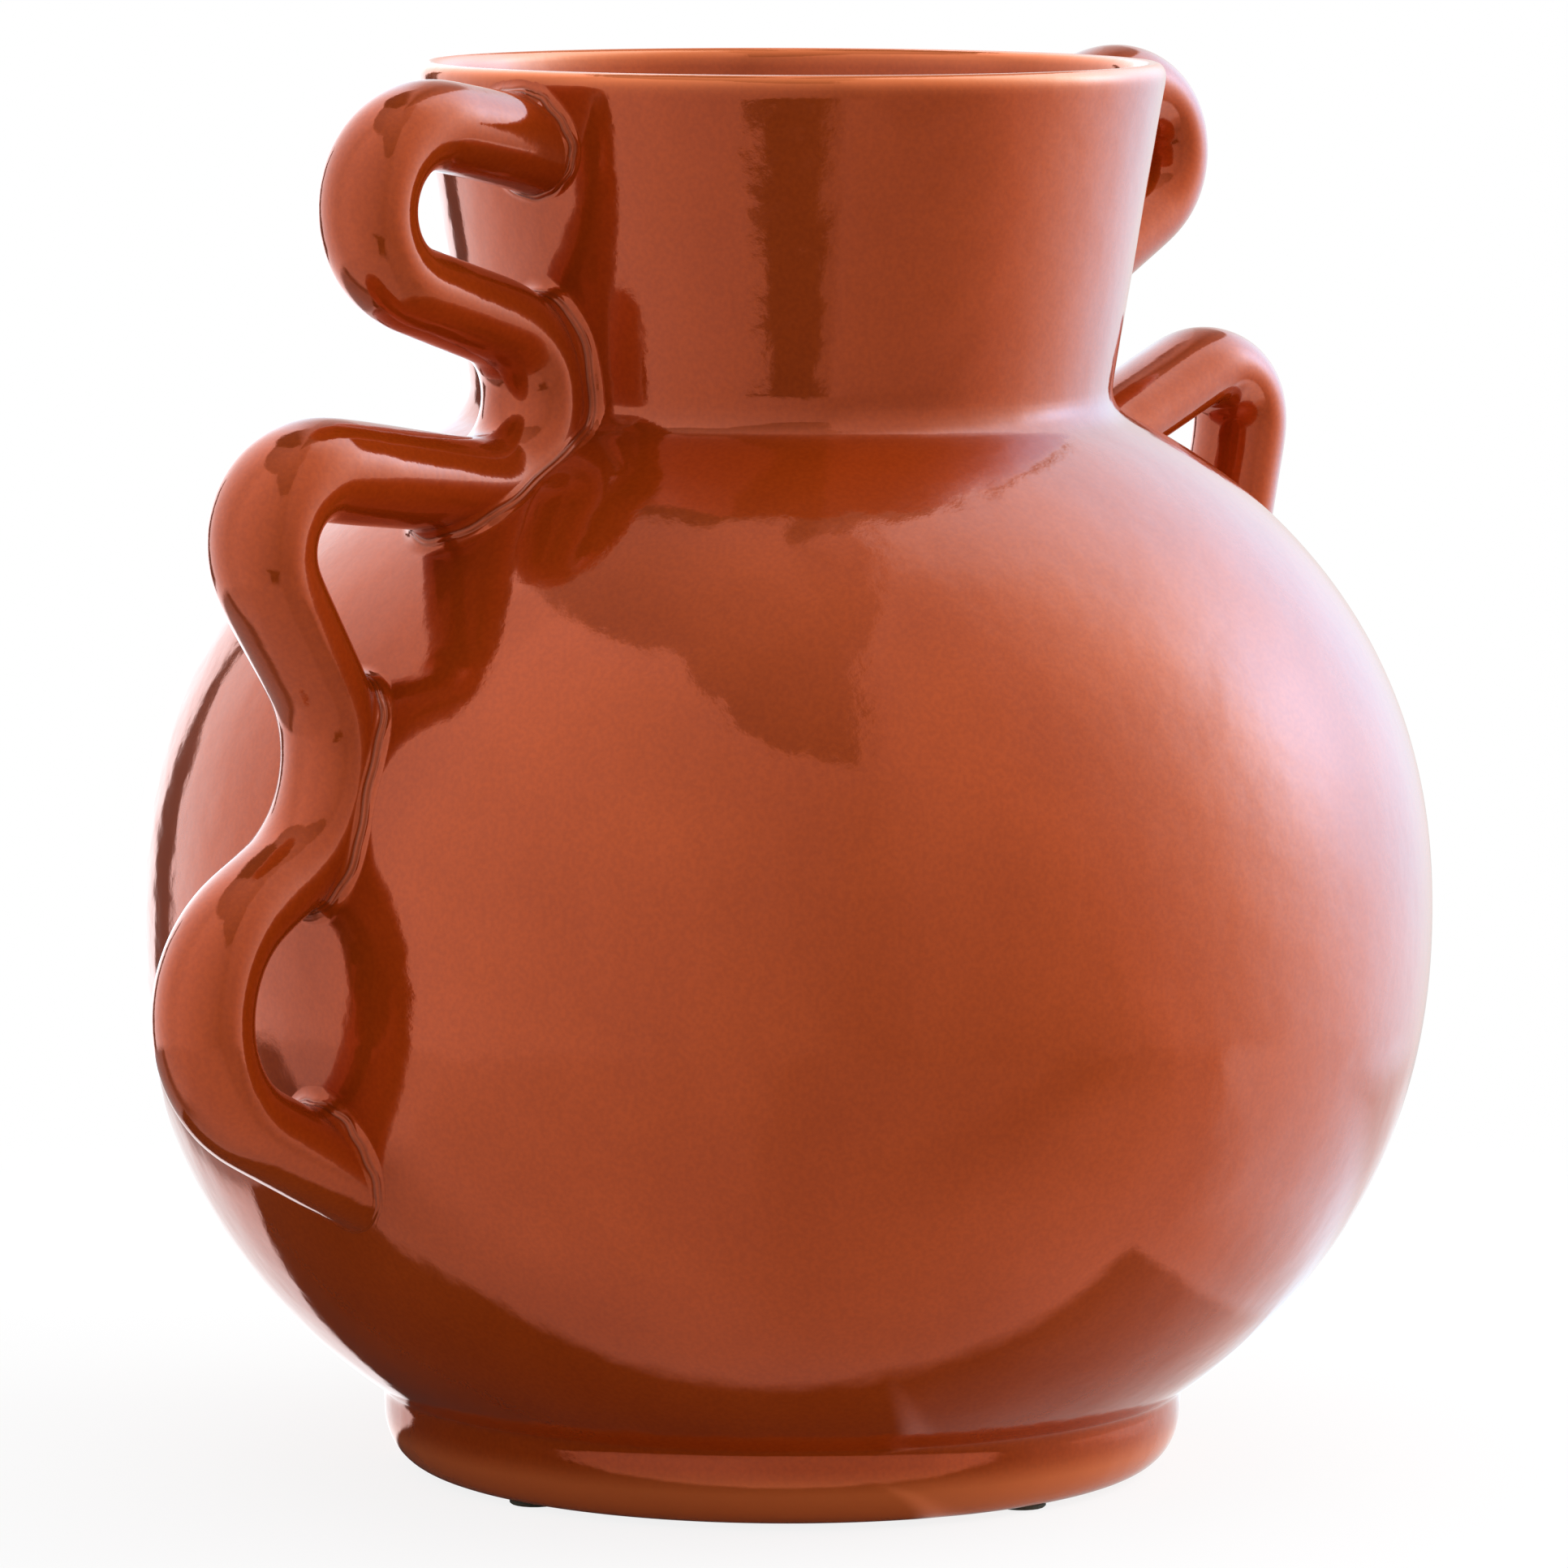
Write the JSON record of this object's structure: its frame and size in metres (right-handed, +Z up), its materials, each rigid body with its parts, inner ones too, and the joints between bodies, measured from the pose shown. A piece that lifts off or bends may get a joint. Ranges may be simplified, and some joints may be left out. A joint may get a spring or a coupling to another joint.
{
  "type": "stoneware vase",
  "caption": "Ball-shaped glazed stoneware vase with a flared neck, a foot ring and a squiggle coil handle on each side, on small pads.",
  "frame": {"origin": "centre of the foot, on the surface that the vase stands on (the underside of the pads)", "axes": "+Z up along the vase's axis, +X through the right handle, -X through the left handle"},
  "size_m": [0.3193, 0.2496, 0.2717],
  "materials": {
    "body_glaze": "glossy terracotta glaze",
    "handle_glaze": "glossy terracotta glaze",
    "seam_glaze": "glossy glaze pooled over luting slip",
    "pad_rubber": "matt"
  },
  "bodies": {
    "root": {"vase_body": "body_glaze", "handle_left": "handle_glaze", "handle_right": "handle_glaze", "slip_seam_left_neck": "seam_glaze", "slip_seam_left_shoulder": "seam_glaze", "slip_seam_left_upper_belly": "seam_glaze", "slip_seam_left_lower_belly": "seam_glaze", "slip_seam_right_neck": "seam_glaze", "slip_seam_right_shoulder": "seam_glaze", "slip_seam_right_upper_belly": "seam_glaze", "slip_seam_right_lower_belly": "seam_glaze", "foot_pad_1": "pad_rubber", "foot_pad_2": "pad_rubber", "foot_pad_3": "pad_rubber", "foot_pad_4": "pad_rubber"}
  },
  "joints": []
}
